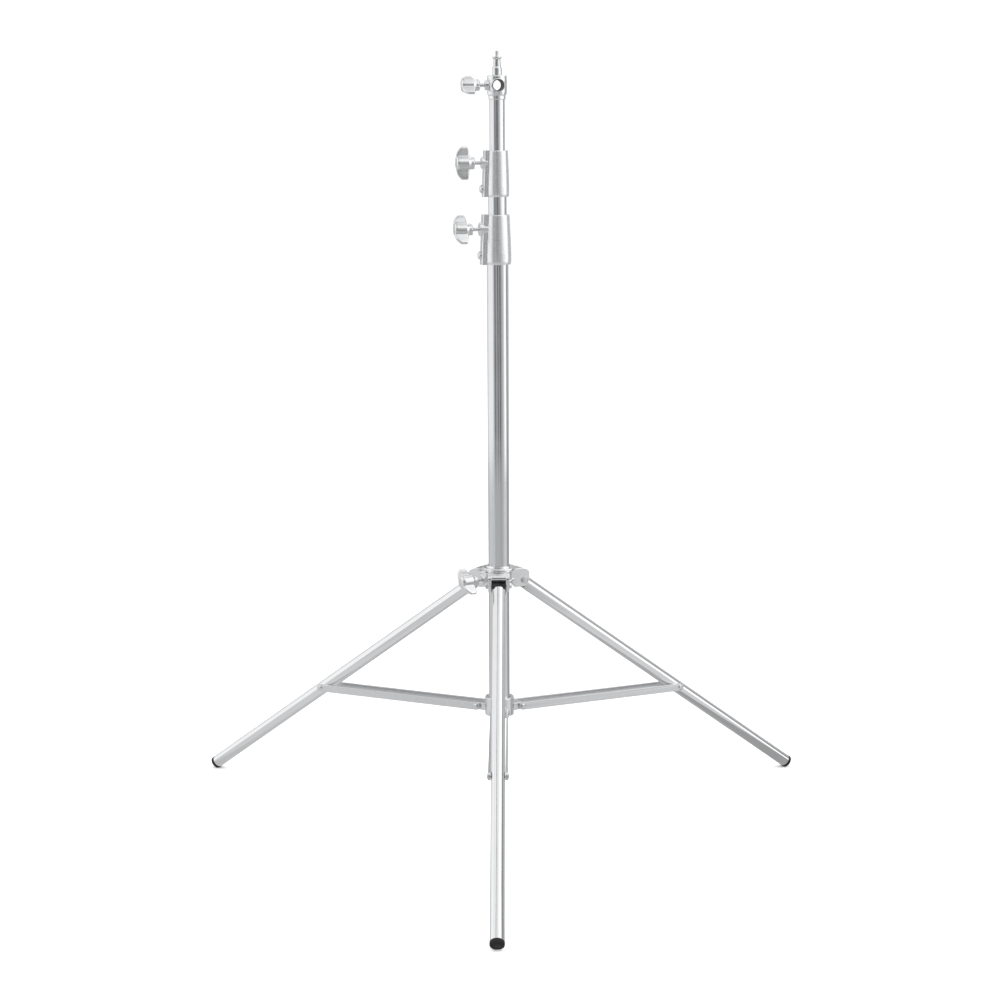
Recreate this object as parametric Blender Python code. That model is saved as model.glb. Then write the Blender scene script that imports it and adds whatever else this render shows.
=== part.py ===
"""Telescopic steel lighting stand: three folding legs, two risers and a spigot head, each clamped by a wing knob.

Units are metres, +Z is up and the floor is z = 0. The origin lies on the floor under the middle of the
stand's box, and the column's axis stands a little behind it. Every leg is built hanging straight down and
every brace lying along +X, and an empty on the joint's axis then turns each into place.
"""

from math import atan2, cos, hypot, pi, radians, sin, sqrt

import bmesh
import bpy
from mathutils import Matrix

# Tubes: outer radii and walls
COLUMN_R = 0.0175
MIDDLE_R = 0.0150
TOP_R = 0.0125
LEG_R = 0.0110
TUBE_WALL = 0.0015
GAP = 0.0003  # kept between neighbouring pieces
ROUND = 24  # facets round a tube or a casting
SMALL_ROUND = 12  # facets round anything thinner than 15 mm: a hole, a pin or a screw

# Heights along the column
COLUMN_BOTTOM = 0.183
COLUMN_TOP = 0.980
MIDDLE_BOTTOM = 0.240
MIDDLE_TOP = 1.087
TOP_BOTTOM = 0.350
TOP_TOP = 1.2127
LOWER_COLLAR = (0.9386, 1.0189)
UPPER_COLLAR = (1.0477, 1.1218)
HEAD = (1.2024, 1.2090, 1.2409)  # foot of the rim, foot of the body, top of the body
SOCKET_HEIGHT = 1.2253
SPIGOT_TOP = 1.2795

# Leg linkage, as distances out from the column's axis and heights above the floor
LEG_PIVOT = (0.0390, 0.4123)
SPREADER_PIVOT = (0.0370, 0.1950)
LEG_ANGLE = radians(54.34)  # from the vertical
LEG_LENGTH = 0.6928  # from its pivot to the middle of its rubber tip
BRACE_PIN_ALONG_LEG = 0.3905
LEG_AZIMUTHS = (270, 30, 150)  # degrees: the first leg points to -Y

# Clevises, straps and fasteners
CLEVIS_GAP = 0.0240
CHEEK = 0.00575
STRAP_GAP = 0.0228
STRAP = 0.0040
STRAP_HEIGHT = 0.0130
PIN_R = 0.0030
RING_R = 0.0222
SPREADER_R = 0.0243
LUG_HALF = 0.0063

# Wing knobs: the distance from the column's axis to the knob's inner end, height, azimuth, turn of the wings
KNOB_LENGTH = 0.030
HUB_R = 0.0110
WING_REACH = 0.0268
WING_LENGTH = 0.0210
WING_THICKNESS = 0.0070
STUD_R = 0.0030
KNOBS = {
    "head": (0.0280, SOCKET_HEIGHT, 188, 62),
    "upper": (0.0380, 1.1020, 193, 4),
    "lower": (0.0420, 0.9955, 193, 36),
    "leg_collar": (0.0430, 0.4176, 210, 50),
}

PIVOT_R, PIVOT_Z = LEG_PIVOT
SPREAD_R, SPREAD_Z = SPREADER_PIVOT
PIN_OUT = PIVOT_R + BRACE_PIN_ALONG_LEG * sin(LEG_ANGLE)
PIN_UP = PIVOT_Z - BRACE_PIN_ALONG_LEG * cos(LEG_ANGLE)
BRACE_LENGTH = hypot(PIN_OUT - SPREAD_R, PIN_UP - SPREAD_Z)
BRACE_DROP = atan2(SPREAD_Z - PIN_UP, PIN_OUT - SPREAD_R)
FOOT_R = LEG_R + GAP
FOOT_OUT = PIVOT_R + LEG_LENGTH * sin(LEG_ANGLE)


def column_offset():
    """How far behind the middle of the stand's box the column stands, from the reach of the three feet."""
    front_reach = FOOT_OUT + FOOT_R * cos(LEG_ANGLE)
    across = hypot(0.5 * cos(LEG_ANGLE), sqrt(3) / 2)
    rear_reach = 0.5 * FOOT_OUT + FOOT_R * across
    return (front_reach - rear_reach) / 2


COLUMN_Y = column_offset()


def clear_scene():
    for obj in list(bpy.data.objects):
        bpy.data.objects.remove(obj, do_unlink=True)


def material(name, colour, metallic, roughness):
    made = bpy.data.materials.new(name)
    made.use_nodes = True
    shader = made.node_tree.nodes["Principled BSDF"]
    shader.inputs["Base Color"].default_value = (*colour, 1)
    shader.inputs["Metallic"].default_value = metallic
    shader.inputs["Roughness"].default_value = roughness
    return made


def empty(name, location, rotation=(0, 0, 0), parent=None):
    made = bpy.data.objects.new(name, None)
    bpy.context.collection.objects.link(made)
    made.location = location
    made.rotation_euler = rotation
    made.parent = parent
    return made


def finish_mesh(mould, name, finish, parent, location=(0, 0, 0), rotation=(0, 0, 0)):
    """Turns a bmesh into a named object with its material, placed under its parent."""
    bmesh.ops.recalc_face_normals(mould, faces=mould.faces[:])
    mesh = bpy.data.meshes.new(name)
    mould.to_mesh(mesh)
    mould.free()
    mesh.shade_smooth()
    mesh.set_sharp_from_angle(angle=radians(35))
    mesh.materials.append(finish)
    made = bpy.data.objects.new(name, mesh)
    bpy.context.collection.objects.link(made)
    made.parent = parent
    made.location = location
    made.rotation_euler = rotation
    return made


def turned(name, profile, finish, parent, hollow=False, **place):
    """A profile of (radius, height) points spun about Z; a hollow profile is a closed loop off the axis."""
    steps = ROUND if max(radius for radius, height in profile) > 0.0075 else SMALL_ROUND
    mould = bmesh.new()
    points = [mould.verts.new((radius, 0, height)) for radius, height in profile]
    pairs = list(zip(points, points[1:]))
    if hollow:
        pairs.append((points[-1], points[0]))
    edges = [mould.edges.new(pair) for pair in pairs]
    bmesh.ops.spin(
        mould, geom=points + edges, cent=(0, 0, 0), axis=(0, 0, 1), dvec=(0, 0, 0),
        angle=2 * pi, steps=steps, use_merge=True,
    )
    bmesh.ops.remove_doubles(mould, verts=mould.verts[:], dist=1e-6)
    return finish_mesh(mould, name, finish, parent, **place)


def rod(name, radius, low, high, finish, parent, **place):
    """A plain round bar along Z between two heights."""
    return turned(name, [(0, high), (radius, high), (radius, low), (0, low)], finish, parent, **place)


def tube(name, outer, low, high, finish, parent, **place):
    inner = outer - TUBE_WALL
    loop = [(outer, high), (outer, low), (inner, low), (inner, high)]
    return turned(name, loop, finish, parent, hollow=True, **place)


def plate(name, outline, low, high, finish, parent, **place):
    """An outline of (x, z) points extruded along Y from low to high."""
    mould = bmesh.new()
    face = mould.faces.new([mould.verts.new((x, low, z)) for x, z in outline])
    grown = bmesh.ops.extrude_face_region(mould, geom=[face])
    moved = [item for item in grown["geom"] if isinstance(item, bmesh.types.BMVert)]
    bmesh.ops.translate(mould, verts=moved, vec=(0, high - low, 0))
    return finish_mesh(mould, name, finish, parent, **place)


def arc(centre, radius, start, end, steps=6):
    """Points (x, z) round a centre, from one angle in degrees to another."""
    angles = [radians(start + (end - start) * i / steps) for i in range(steps + 1)]
    return [(centre[0] + radius * cos(a), centre[1] + radius * sin(a)) for a in angles]


def boolean(target, other, operation):
    """Cuts or joins with the exact solver, merges the twin vertices that it leaves, and hides the helper."""
    change = target.modifiers.new(other.name, "BOOLEAN")
    change.operation = operation
    change.object = other
    merge = target.modifiers.new("weld", "WELD")
    merge.merge_threshold = 5e-6
    other.hide_render = True
    other.display_type = "WIRE"


def cut(target, other):
    boolean(target, other, "DIFFERENCE")


def join(target, other):
    boolean(target, other, "UNION")


def bar_outwards(name, radius, near, far, height, azimuth, finish, parent):
    """A round bar pointing straight out from the column at an azimuth in degrees."""
    turn = (Matrix.Rotation(radians(azimuth), 3, "Z") @ Matrix.Rotation(pi / 2, 3, "Y")).to_euler()
    return rod(name, radius, near, far, finish, parent, location=(0, 0, height), rotation=turn)


def brake_pad(name, inner, height, length, azimuth, finish, parent):
    """A curved nylon shoe, 2.5 mm thick, that a knob presses on the tube inside its collar."""
    half = radians(24)
    steps = 6
    mould = bmesh.new()
    rows = []
    for radius in (inner, inner + 0.0025):
        angles = [half * (2 * i / steps - 1) for i in range(steps + 1)]
        rows.append([(radius * cos(a), radius * sin(a)) for a in angles])
    ring = rows[0] + rows[1][::-1]
    face = mould.faces.new([mould.verts.new((x, y, -length / 2)) for x, y in ring])
    grown = bmesh.ops.extrude_face_region(mould, geom=[face])
    moved = [item for item in grown["geom"] if isinstance(item, bmesh.types.BMVert)]
    bmesh.ops.translate(mould, verts=moved, vec=(0, 0, length))
    return finish_mesh(mould, name, finish, parent,
                       location=(0, 0, height), rotation=(0, 0, radians(azimuth)))


def pad_pocket(name, inner, height, length, azimuth, finish, parent):
    """The recess that a brake pad lies in, larger than the pad by the gap."""
    half_width = (inner + 0.0025) * sin(radians(24)) + GAP
    depth = inner + 0.0025 + GAP
    top = length / 2 + GAP
    outline = [(inner * 0.6, -top), (depth, -top), (depth, top), (inner * 0.6, top)]
    return plate(name, outline, -half_width, half_width, finish, parent,
                 location=(0, 0, height), rotation=(0, 0, radians(azimuth)))


def wing_knob(which, finish, axis):
    """A cast wing knob; the parent empty's +X is the screw's axis, from the column outwards."""
    near = KNOBS[which][0]
    along = (0, pi / 2, 0)
    hub = turned(
        f"{which}_knob",
        [(0, near + KNOB_LENGTH), (HUB_R * 0.78, near + KNOB_LENGTH - 0.0004),
         (HUB_R, near + KNOB_LENGTH - 0.0030), (HUB_R, near + 0.0090), (HUB_R * 0.84, near + 0.0060),
         (HUB_R * 0.84, near + 0.0012), (HUB_R * 0.70, near), (0, near)],
        finish, axis, rotation=along,
    )
    outer = near + KNOB_LENGTH - 0.0010
    inner = outer - WING_LENGTH
    corner = 0.0055
    upper = [(inner, WING_REACH), *arc((outer - corner - 0.0030, WING_REACH - corner), corner, 90, 25, 4),
             (outer, HUB_R)]
    lower = [(x, -z) for x, z in reversed(upper)]
    wings = plate(f"{which}_wings", upper + lower, -WING_THICKNESS / 2, WING_THICKNESS / 2, finish, axis)
    join(hub, wings)


def knob_axis(which, root):
    _, height, azimuth, turn = KNOBS[which]
    return empty(f"{which}_knob_axis", (0, 0, height), (radians(turn), 0, radians(azimuth)), root)


def stud(which, tip, finish, root):
    """The knob's threaded stud, from the brake pad or the socket out to the knob."""
    near, height, azimuth, _ = KNOBS[which]
    return bar_outwards(f"{which}_stud", STUD_R, tip, near - GAP, height, azimuth, finish, root)


def dome_screw(name, face, tip, height, azimuth, finish, root):
    """A dome-headed screw that fixes a collar on its tube."""
    turn = (Matrix.Rotation(radians(azimuth), 3, "Z") @ Matrix.Rotation(pi / 2, 3, "Y")).to_euler()
    head = 0.0070
    profile = [(0, face + 0.0055), (head * 0.45, face + 0.0050), (head * 0.82, face + 0.0035),
               (head, face + 0.0012), (head, face + GAP), (STUD_R, face + GAP), (STUD_R, tip), (0, tip)]
    return turned(name, profile, finish, root, location=(0, 0, height), rotation=turn)


def clamp_collar(which, span, lower_tube, upper_tube, step, radii, strip, boss, screw_height,
                 cast, nylon, steel, root):
    """The cast collar between two tubes, its brake pad and its fixing screw.

    radii gives the barrel's profile as (radius, share of the height from the top), strip the distance of its
    flat rib at the top and the foot and its half width, boss the knob boss's reach and radius."""
    low, high = span
    tall = high - low
    azimuth = KNOBS[which][2]
    profile = [(0, high)] + [(radius, high - share * tall) for radius, share in radii] + [(0, low)]
    collar = turned(f"{which}_collar", profile, cast, root)
    top_out, foot_out, half = strip
    outline = [(0.006, high), (top_out - 0.001, high), (top_out, high - 0.001),
               (foot_out, low + 0.001), (foot_out - 0.001, low), (0.006, low)]
    join(collar, plate(f"{which}_strip", outline, -half, half, cast, root, rotation=(0, 0, radians(azimuth))))
    knob_height = KNOBS[which][1]
    reach, radius = boss
    join(collar, bar_outwards(f"{which}_boss", radius, 0.006, reach, knob_height, azimuth, cast, root))
    cut(collar, rod(f"{which}_lower_bore", lower_tube + GAP, low - 0.01, step + GAP, cast, root))
    cut(collar, rod(f"{which}_upper_bore", upper_tube + GAP, step - 0.01, high + 0.01, cast, root))
    pad_length = 0.021
    cut(collar, pad_pocket(f"{which}_pocket", upper_tube + GAP, knob_height, pad_length, azimuth, cast, root))
    cut(collar, bar_outwards(f"{which}_stud_hole", STUD_R + GAP, 0.004, reach + 0.01, knob_height, azimuth,
                             cast, root))
    cut(collar, bar_outwards(f"{which}_screw_hole", STUD_R + GAP, 0.004, foot_out + 0.01, screw_height, azimuth,
                             cast, root))
    brake_pad(f"{which}_brake_pad", upper_tube + GAP, knob_height, pad_length, azimuth, nylon, root)
    share = (high - screw_height) / tall
    face = top_out + (foot_out - top_out) * share + GAP
    dome_screw(f"{which}_fixing_screw", face, lower_tube + GAP, screw_height, azimuth, steel, root)


def tube_guide(name, outer, inner_tube, top, bore, finish, root):
    """The flanged nylon bush at the foot of a riser, its stub inside the tube."""
    stub = inner_tube - TUBE_WALL - GAP
    loop = [(bore, top + 0.010), (stub, top + 0.010), (stub, top - GAP), (outer, top - GAP),
            (outer, top - GAP - 0.012), (bore, top - GAP - 0.012)]
    return turned(name, loop, finish, root, hollow=True)


def spigot_head(cast, steel, root):
    """The cast head with its cross socket, and the spigot that stands in it."""
    rim, foot, top = HEAD
    azimuth = KNOBS["head"][2]
    profile = [(0, top), (0.0145, top), (0.0158, top - 0.0014), (0.0161, top - 0.008), (0.0161, foot + 0.006),
               (0.0152, foot + 0.001), (0.0138, foot), (0.0138, rim + 0.001), (0.0132, rim), (0, rim)]
    head = turned("head_casting", profile, cast, root)
    half_depth = 0.0180
    socket_turn = (Matrix.Rotation(radians(azimuth + 90), 3, "Z") @ Matrix.Rotation(pi / 2, 3, "Y")).to_euler()
    across = {"location": (0, 0, SOCKET_HEIGHT), "rotation": socket_turn}
    join(head, rod("socket_boss", 0.0110, -half_depth, half_depth, cast, root, **across))
    join(head, bar_outwards("head_boss", 0.0080, 0.006, 0.0200, SOCKET_HEIGHT, azimuth, cast, root))
    cut(head, rod("socket", 0.0083, -half_depth - 0.01, half_depth + 0.01, cast, root, **across))
    cut(head, rod("top_tube_bore", TOP_R + GAP, rim - 0.01, TOP_TOP + GAP, cast, root))
    cut(head, rod("spigot_bore", 0.0053, top - 0.0064, top + 0.01, cast, root))
    cut(head, bar_outwards("head_stud_hole", STUD_R + GAP, 0.006, 0.03, SOCKET_HEIGHT, azimuth, cast, root))
    seat = top + GAP
    turned(
        "spigot",
        [(0, SPIGOT_TOP), (0.0022, SPIGOT_TOP), (0.0031, SPIGOT_TOP - 0.001), (0.0031, SPIGOT_TOP - 0.0089),
         (0.0070, SPIGOT_TOP - 0.0089), (0.0074, SPIGOT_TOP - 0.0095), (0.0074, SPIGOT_TOP - 0.0125),
         (0.0060, SPIGOT_TOP - 0.0145), (0.0060, SPIGOT_TOP - 0.0165), (0.0078, SPIGOT_TOP - 0.0285),
         (0.0080, SPIGOT_TOP - 0.0300), (0.0080, seat), (0.0050, seat), (0.0050, top - 0.0060), (0, top - 0.0060)],
        steel, root,
    )


def leg_collar(cast, nylon, root):
    """The sliding cast spider: a ring with three clevises, its clamp block and brake pad."""
    top = PIVOT_Z + 0.0243
    ring = turned(
        "leg_collar",
        [(0, top + 0.0030), (0.0205, top + 0.0030), (0.0212, top), (0.0265, top), (0.0275, top - 0.001),
         (0.0275, top - 0.0042), (0.0265, top - 0.0050), (RING_R, top - 0.0054), (RING_R, PIVOT_Z + 0.0060),
         (0.0262, PIVOT_Z + 0.0054), (0.0270, PIVOT_Z + 0.0046), (0.0270, PIVOT_Z + 0.0030),
         (0.0262, PIVOT_Z + 0.0022), (0, PIVOT_Z + 0.0022)],
        cast, root,
    )
    cheek_top = PIVOT_Z + 0.0212
    cheek_foot = PIVOT_Z - 0.0103
    outline = [(0.0120, cheek_top), (0.0360, cheek_top), (0.0440, cheek_top - 0.0022),
               (0.0490, cheek_top - 0.0065), (0.0490, PIVOT_Z), (0.0415, cheek_foot), (0.0205, cheek_foot),
               (0.0120, PIVOT_Z + 0.0034)]
    web = [(0.0120, PIVOT_Z + 0.0096), (0.0455, PIVOT_Z + 0.0096), (0.0475, PIVOT_Z + 0.0112),
           (0.0475, PIVOT_Z + 0.0150), (0.0450, PIVOT_Z + 0.0180), (0.0380, PIVOT_Z + 0.0200),
           (0.0120, PIVOT_Z + 0.0200)]
    for azimuth in LEG_AZIMUTHS:
        join(ring, plate(f"web_{azimuth}", web, -CLEVIS_GAP / 2 - 0.001, CLEVIS_GAP / 2 + 0.001, cast, root,
                         rotation=(0, 0, radians(azimuth))))
        for side, low in (("left", CLEVIS_GAP / 2), ("right", -CLEVIS_GAP / 2 - CHEEK)):
            join(ring, plate(f"cheek_{azimuth}_{side}", outline, low, low + CHEEK, cast, root,
                             rotation=(0, 0, radians(azimuth))))
    _, height, azimuth, _ = KNOBS["leg_collar"]
    foot, head = height - 0.0125, height + 0.0125
    block = [(0.0120, foot), (0.0300, foot), (0.0300, head), (0.0120, head)]
    join(ring, plate("clamp_block", block, -0.0105, 0.0105, cast, root, rotation=(0, 0, radians(azimuth))))
    join(ring, bar_outwards("leg_collar_boss", 0.0085, 0.020, 0.0346, height, azimuth, cast, root))
    cut(ring, rod("leg_collar_bore", COLUMN_R + GAP, PIVOT_Z - 0.05, top + 0.05, cast, root))
    pad_length = 0.0190
    cut(ring, pad_pocket("leg_collar_pocket", COLUMN_R + GAP, height, pad_length, azimuth, cast, root))
    cut(ring, bar_outwards("leg_collar_stud_hole", STUD_R + GAP, 0.010, 0.05, height, azimuth, cast, root))
    for azimuth_of_leg in LEG_AZIMUTHS:
        cut(ring, cross_pin(f"pivot_hole_{azimuth_of_leg}", PIN_R + GAP, 0.03, PIVOT_R, PIVOT_Z, azimuth_of_leg,
                            cast, root))
    brake_pad("leg_collar_brake_pad", COLUMN_R + GAP, height, pad_length, azimuth, nylon, root)


def cross_turn(azimuth):
    """Turns a piece built along Z to lie across a leg, along the leg's hinge axis."""
    return (Matrix.Rotation(radians(azimuth), 3, "Z") @ Matrix.Rotation(-pi / 2, 3, "X")).to_euler()


def out_from_column(out, height, azimuth):
    turn = radians(azimuth)
    return (out * cos(turn), out * sin(turn), height)


def cross_pin(name, radius, reach, out, height, azimuth, finish, parent):
    """A round bar along a hinge axis, centred on the leg."""
    return rod(name, radius, -reach, reach, finish, parent,
               location=out_from_column(out, height, azimuth), rotation=cross_turn(azimuth))


def pivot_bolt(number, azimuth, finish, root):
    """A dome-headed bolt through one clevis, and its nut on the far cheek."""
    face = CLEVIS_GAP / 2 + CHEEK + GAP
    place = {"location": out_from_column(PIVOT_R, PIVOT_Z, azimuth), "rotation": cross_turn(azimuth)}
    head = 0.0052
    turned(f"leg_pivot_bolt_{number}",
           [(0, face + 0.0040), (head * 0.6, face + 0.0036), (head, face + 0.0018), (head, face),
            (PIN_R, face), (PIN_R, -face - 0.0040), (0, -face - 0.0040)], finish, root, **place)
    inner = (PIN_R + GAP) / cos(pi / 6)
    mould = bmesh.new()
    ring = []
    for radius in (0.0058, inner):
        for z in (-face - 0.0038, -face):
            ring.append([mould.verts.new((radius * cos(pi * i / 3), radius * sin(pi * i / 3), z))
                         for i in range(6)])
    outer_low, outer_high, inner_low, inner_high = ring
    for i in range(6):
        k = (i + 1) % 6
        mould.faces.new((outer_low[i], outer_low[k], outer_high[k], outer_high[i]))
        mould.faces.new((inner_low[k], inner_low[i], inner_high[i], inner_high[k]))
        mould.faces.new((outer_high[i], outer_high[k], inner_high[k], inner_high[i]))
        mould.faces.new((outer_low[k], outer_low[i], inner_low[i], inner_low[k]))
    finish_mesh(mould, f"leg_pivot_nut_{number}", finish, root, **place)


def spreader_collar(cast, root):
    """The fixed ring at the column's foot, with one lug for each brace."""
    low, high = 0.1837, 0.2147
    ring = turned("spreader_collar", [(0, high), (SPREADER_R - 0.001, high), (SPREADER_R, high - 0.001),
                                      (SPREADER_R, low + 0.001), (SPREADER_R - 0.001, low), (0, low)],
                  cast, root)
    half = STRAP_GAP / 2 - GAP
    outline = [(0.0180, SPREAD_Z - LUG_HALF), *arc(SPREADER_PIVOT, LUG_HALF, -90, 90),
               (0.0180, SPREAD_Z + LUG_HALF)]
    for azimuth in LEG_AZIMUTHS:
        join(ring, plate(f"lug_{azimuth}", outline, -half, half, cast, root, rotation=(0, 0, radians(azimuth))))
    cut(ring, rod("spreader_bore", COLUMN_R + GAP, low - 0.01, high + 0.01, cast, root))
    for azimuth in LEG_AZIMUTHS:
        cut(ring, cross_pin(f"lug_hole_{azimuth}", PIN_R + GAP, 0.03, SPREAD_R, SPREAD_Z, azimuth, cast, root))


def spreader_rivet(number, azimuth, finish, root):
    """A rivet headed at both ends, through a lug and its two straps."""
    face = STRAP_GAP / 2 + STRAP + GAP
    end = face + 0.0020
    head = 0.0048
    turned(f"spreader_rivet_{number}",
           [(0, end), (head * 0.6, end - 0.0003), (head, face + 0.0007), (head, face), (PIN_R, face),
            (PIN_R, -face), (head, -face), (head, -face - 0.0007), (head * 0.6, -end + 0.0003), (0, -end)],
           finish, root, location=out_from_column(SPREAD_R, SPREAD_Z, azimuth),
           rotation=cross_turn(azimuth))


def leg(number, azimuth, steel, nylon, rubber, root):
    """One leg hung from its hinge: the tube, the nylon hinge block in its top, the rubber foot and the brace pin."""
    hinge = empty(f"leg_{number}_hinge", out_from_column(PIVOT_R, PIVOT_Z, azimuth),
                  (0, -LEG_ANGLE, radians(azimuth)), root)
    tube_top = -0.0110
    tube_foot = -LEG_LENGTH + 0.0060
    leg_tube = tube(f"leg_tube_{number}", LEG_R, tube_foot, tube_top, steel, hinge)
    pin_drop = (0, 0, -BRACE_PIN_ALONG_LEG)
    across = (-pi / 2, 0, 0)
    cut(leg_tube, rod(f"brace_hole_{number}", PIN_R + GAP, -0.02, 0.02, steel, hinge,
                      location=pin_drop, rotation=across))
    rod(f"brace_pin_{number}", PIN_R, -LEG_R - 0.0002, LEG_R + 0.0002, steel, hinge,
        location=pin_drop, rotation=across)
    half = CLEVIS_GAP / 2 - 0.0004
    seat = tube_top + GAP
    outline = [(-0.0095, seat), (0.0095, seat), *arc((0, 0), 0.0075, 0, 180, 8)]
    block = plate(f"leg_hinge_block_{number}", outline, -half, half, nylon, hinge)
    stub = LEG_R - TUBE_WALL - GAP
    join(block, rod(f"hinge_stub_{number}", stub, tube_top - 0.018, tube_top + 0.003, nylon, hinge))
    cut(block, rod(f"hinge_hole_{number}", PIN_R + GAP, -0.02, 0.02, nylon, hinge, rotation=across))
    tip = -LEG_LENGTH
    foot = turned(
        f"rubber_foot_{number}",
        [(0, tube_foot + 0.020), (stub, tube_foot + 0.020), (stub, tube_foot - GAP), (FOOT_R, tube_foot - GAP),
         (FOOT_R, tip), (0, tip)],
        rubber, hinge,
    )
    floor = plate(f"floor_{number}", [(0.5, -0.03), (0.7, -0.03), (0.7, 0), (0.5, 0)], -0.03, 0.03, rubber, root,
                  rotation=(0, 0, radians(azimuth)))
    cut(foot, floor)


def brace(number, azimuth, steel, root):
    """Two flat straps that straddle the leg, hinged on the spreader, with a rivet head on each outer face."""
    hinge = empty(f"brace_{number}_hinge", out_from_column(SPREAD_R, SPREAD_Z, azimuth),
                  (0, BRACE_DROP, radians(azimuth)), root)
    half = STRAP_HEIGHT / 2
    outline = arc((0, 0), half, 90, 270) + arc((BRACE_LENGTH, 0), half, -90, 90)
    across = (-pi / 2, 0, 0)
    for side, sign in (("left", 1), ("right", -1)):
        inner = sign * STRAP_GAP / 2
        outer = inner + sign * STRAP
        strap = plate(f"brace_strap_{number}_{side}", outline, min(inner, outer), max(inner, outer), steel, hinge)
        for place, where in (("foot", 0), ("pin", BRACE_LENGTH)):
            cut(strap, rod(f"strap_{place}_hole_{number}_{side}", PIN_R + GAP, -0.02, 0.02, steel, hinge,
                           location=(where, 0, 0), rotation=across))
        start = STRAP_GAP / 2 + 0.0001
        face = STRAP_GAP / 2 + STRAP + GAP
        head = 0.0045
        turned(f"brace_rivet_head_{number}_{side}",
               [(0, face + 0.0020), (head * 0.6, face + 0.0017), (head, face + 0.0006), (head, face),
                (PIN_R, face), (PIN_R, start), (0, start)], steel, hinge,
               location=(BRACE_LENGTH, 0, 0), rotation=(-sign * pi / 2, 0, 0))


def build():
    clear_scene()
    polished = material("polished_steel", (0.78, 0.78, 0.79), 1.0, 0.16)
    cast = material("satin_cast_alloy", (0.66, 0.66, 0.67), 1.0, 0.34)
    plated = material("plated_fastener", (0.74, 0.74, 0.75), 1.0, 0.22)
    pressed = material("pressed_steel_strap", (0.70, 0.70, 0.71), 1.0, 0.28)
    nylon = material("black_nylon", (0.015, 0.015, 0.016), 0.0, 0.50)
    rubber = material("black_rubber", (0.020, 0.020, 0.020), 0.0, 0.75)
    root = empty("column_axis", (0, COLUMN_Y, 0))

    tube("column_tube", COLUMN_R, COLUMN_BOTTOM, COLUMN_TOP, polished, root)
    stub = COLUMN_R - TUBE_WALL - GAP
    turned("column_end_cap",
           [(0, COLUMN_BOTTOM + 0.012), (stub, COLUMN_BOTTOM + 0.012), (stub, COLUMN_BOTTOM - GAP),
            (COLUMN_R, COLUMN_BOTTOM - GAP), (COLUMN_R, COLUMN_BOTTOM - 0.0033), (0, COLUMN_BOTTOM - 0.0033)],
           nylon, root)
    spreader_collar(cast, root)
    clamp_collar("lower", LOWER_COLLAR, COLUMN_R, MIDDLE_R, COLUMN_TOP,
                 [(0.0188, 0), (0.0196, 0.012), (0.0203, 0.20), (0.0214, 0.50), (0.0222, 0.78), (0.0222, 0.95),
                  (0.0212, 1)],
                 (0.0253, 0.0283, 0.0105), (0.0305, 0.0112), 0.9535, cast, nylon, plated, root)
    tube("middle_tube", MIDDLE_R, MIDDLE_BOTTOM, MIDDLE_TOP, polished, root)
    tube_guide("middle_tube_guide", COLUMN_R - TUBE_WALL - GAP, MIDDLE_R, MIDDLE_BOTTOM, 0.0100, nylon, root)
    clamp_collar("upper", UPPER_COLLAR, MIDDLE_R, TOP_R, MIDDLE_TOP,
                 [(0.0168, 0), (0.0174, 0.012), (0.0180, 0.20), (0.0187, 0.50), (0.0193, 0.78), (0.0193, 0.95),
                  (0.0185, 1)],
                 (0.0221, 0.0248, 0.0095), (0.0268, 0.0096), 1.0602, cast, nylon, plated, root)
    tube("top_tube", TOP_R, TOP_BOTTOM, TOP_TOP, polished, root)
    tube_guide("top_tube_guide", MIDDLE_R - TUBE_WALL - GAP, TOP_R, TOP_BOTTOM, 0.0070, nylon, root)
    spigot_head(cast, plated, root)
    leg_collar(cast, nylon, root)

    tips = {"head": 0.0086, "upper": TOP_R + 0.0031, "lower": MIDDLE_R + 0.0031, "leg_collar": COLUMN_R + 0.0031}
    for which, tip in tips.items():
        wing_knob(which, cast, knob_axis(which, root))
        stud(which, tip, plated, root)

    for number, azimuth in enumerate(LEG_AZIMUTHS, 1):
        pivot_bolt(number, azimuth, plated, root)
        spreader_rivet(number, azimuth, plated, root)
        leg(number, azimuth, polished, nylon, rubber, root)
        brace(number, azimuth, pressed, root)


build()
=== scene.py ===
"""A telescopic lighting stand on folding braced legs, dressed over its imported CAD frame. Metres, +Z up."""

from math import cos, pi, radians, sin

import bmesh
import bpy
import numpy as np
from mathutils import Matrix, Vector


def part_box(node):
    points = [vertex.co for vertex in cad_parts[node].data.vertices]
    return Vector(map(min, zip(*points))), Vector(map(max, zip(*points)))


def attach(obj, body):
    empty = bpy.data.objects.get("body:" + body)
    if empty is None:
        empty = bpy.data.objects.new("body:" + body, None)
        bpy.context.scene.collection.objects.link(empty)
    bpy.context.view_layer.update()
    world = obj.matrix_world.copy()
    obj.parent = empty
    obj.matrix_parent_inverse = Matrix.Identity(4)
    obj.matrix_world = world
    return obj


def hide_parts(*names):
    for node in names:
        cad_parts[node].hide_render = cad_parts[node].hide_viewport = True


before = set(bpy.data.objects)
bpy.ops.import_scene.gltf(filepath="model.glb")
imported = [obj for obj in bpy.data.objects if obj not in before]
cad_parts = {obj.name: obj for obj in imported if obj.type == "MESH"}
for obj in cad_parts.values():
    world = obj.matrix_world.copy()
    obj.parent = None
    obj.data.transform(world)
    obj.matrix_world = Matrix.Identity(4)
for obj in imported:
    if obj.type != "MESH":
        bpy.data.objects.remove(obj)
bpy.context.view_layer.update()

# ---------------------------------------------------------------------------------------------
# Camera: a long lens about 3.7 m in front of the column, at the height of the head and tipped down
# by ten degrees, with a small shift and roll that put the column upright.
tube_low, tube_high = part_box("column_tube")
COLUMN_Y = (tube_low.y + tube_high.y) / 2
CAMERA_YAW = radians(0.4507)
CAMERA_TILT = radians(9.8811)
CAMERA_ROLL = radians(-0.2365)
CAMERA_DISTANCE = 3.6854
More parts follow.
